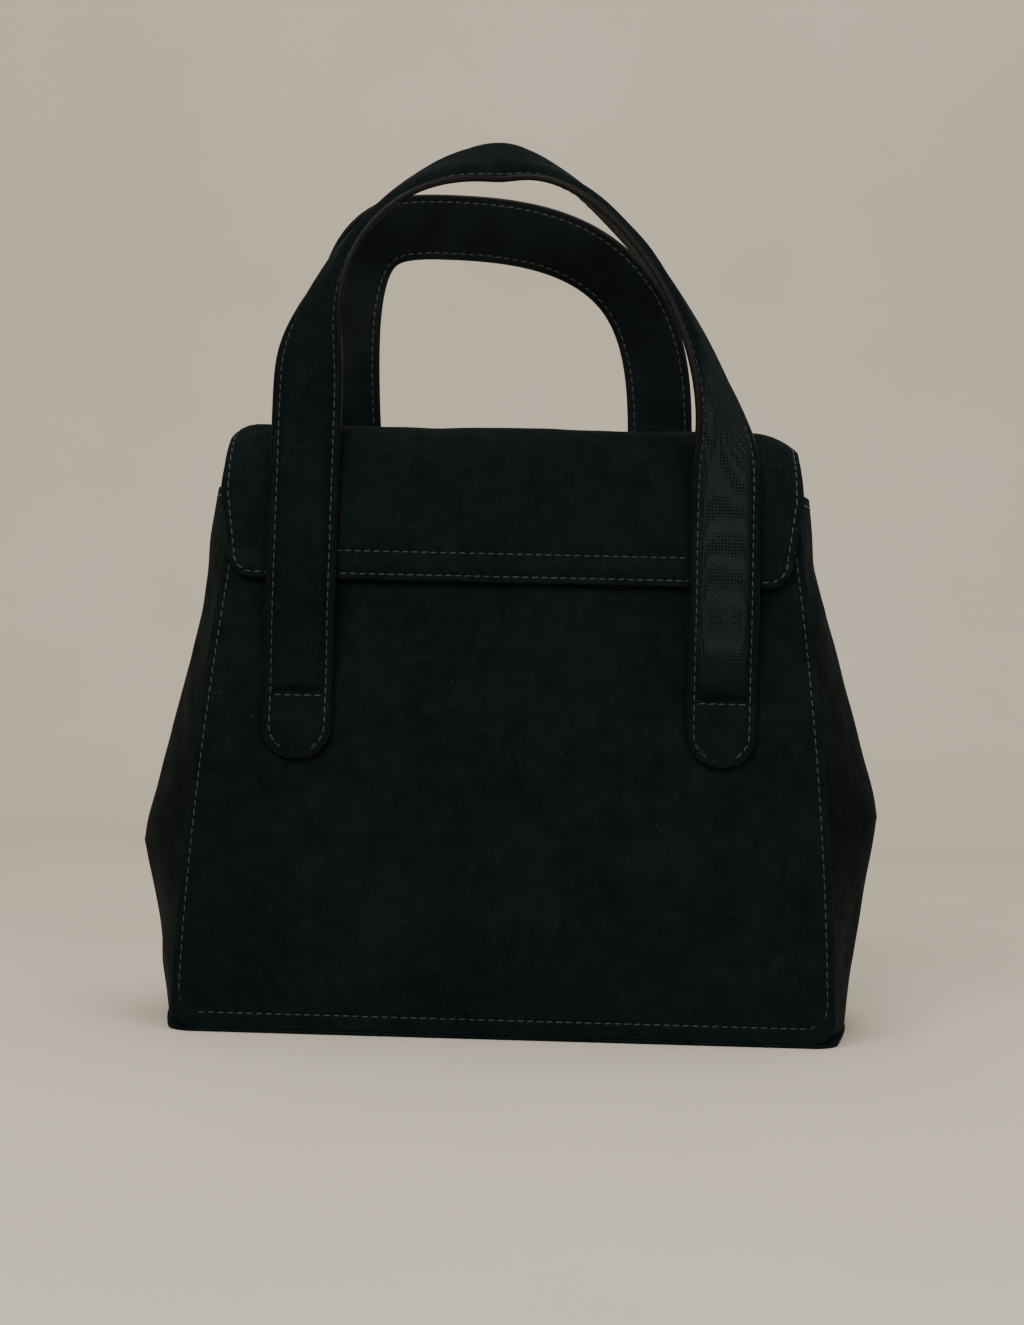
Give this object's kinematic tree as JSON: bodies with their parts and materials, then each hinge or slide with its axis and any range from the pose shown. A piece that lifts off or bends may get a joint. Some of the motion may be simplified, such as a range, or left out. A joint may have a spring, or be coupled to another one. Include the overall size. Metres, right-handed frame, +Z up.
{
  "type": "handbag",
  "caption": "Structured trapezoid suede handbag with bulging side gussets, a sewn-down flap with a magnetic tongue, and twin padded strap handles.",
  "frame": {"origin": "centre of the bag's footprint on the surface it stands on", "axes": "+Z up; -Y is the side where the flap's lower edge is sewn down; +X is to the right seen from that side"},
  "size_m": [0.2802, 0.11, 0.3301],
  "materials": {
    "suede": "matte napped suede",
    "smooth_leather": "smooth semi-gloss",
    "lining_fabric": "woven twill",
    "board": "pressed fibre board",
    "felt": "pressed felt",
    "magnet_steel": "plated"
  },
  "bodies": {
    "bag": {"back_panel": "suede", "front_panel": "suede", "gusset_left": "suede", "gusset_right": "suede", "base_panel": "suede", "base_board": "board", "back_stiffener": "board", "front_stiffener": "board", "back_tab_reinforcements": "board", "front_tab_reinforcements": "board", "lining_back": "lining_fabric", "lining_front": "lining_fabric", "lining_gusset_left": "lining_fabric", "lining_gusset_right": "lining_fabric", "lining_base": "lining_fabric", "slip_pocket": "lining_fabric", "front_magnet": "magnet_steel", "flap_back": "suede", "flap_back_lining": "smooth_leather", "back_tab_left": "suede", "back_tab_right": "suede", "front_tab_left": "suede", "front_tab_right": "suede"},
    "flap": {"flap_top": "suede", "flap_board": "board", "flap_top_lining": "smooth_leather"},
    "tongue": {"tongue": "suede", "tongue_board": "board", "tongue_lining": "smooth_leather", "tongue_magnet": "magnet_steel"},
    "back_handle": {"back_handle_suede": "suede", "back_handle_core": "felt", "back_handle_lining": "smooth_leather"},
    "front_handle": {"front_handle_suede": "suede", "front_handle_core": "felt", "front_handle_lining": "smooth_leather"}
  },
  "joints": [
    {"name": "back_handle_swing", "type": "hinge", "parent": "bag", "child": "back_handle", "pos_m": [0, -0.04896, 0.12221], "axis": [1, 0, 0], "range_deg": [0, 115]},
    {"name": "front_handle_swing", "type": "hinge", "parent": "bag", "child": "front_handle", "pos_m": [0, 0.04896, 0.12221], "axis": [-1, 0, 0], "range_deg": [0, 115]},
    {"name": "flap_lift", "type": "hinge", "parent": "bag", "child": "flap", "pos_m": [0, -0.01972, 0.223], "axis": [1, 0, 0], "range_deg": [0, 60]},
    {"name": "tongue_lift", "type": "hinge", "parent": "flap", "child": "tongue", "pos_m": [0, 0.03119, 0.21938], "axis": [1, 0, 0], "range_deg": [0, 25]}
  ]
}
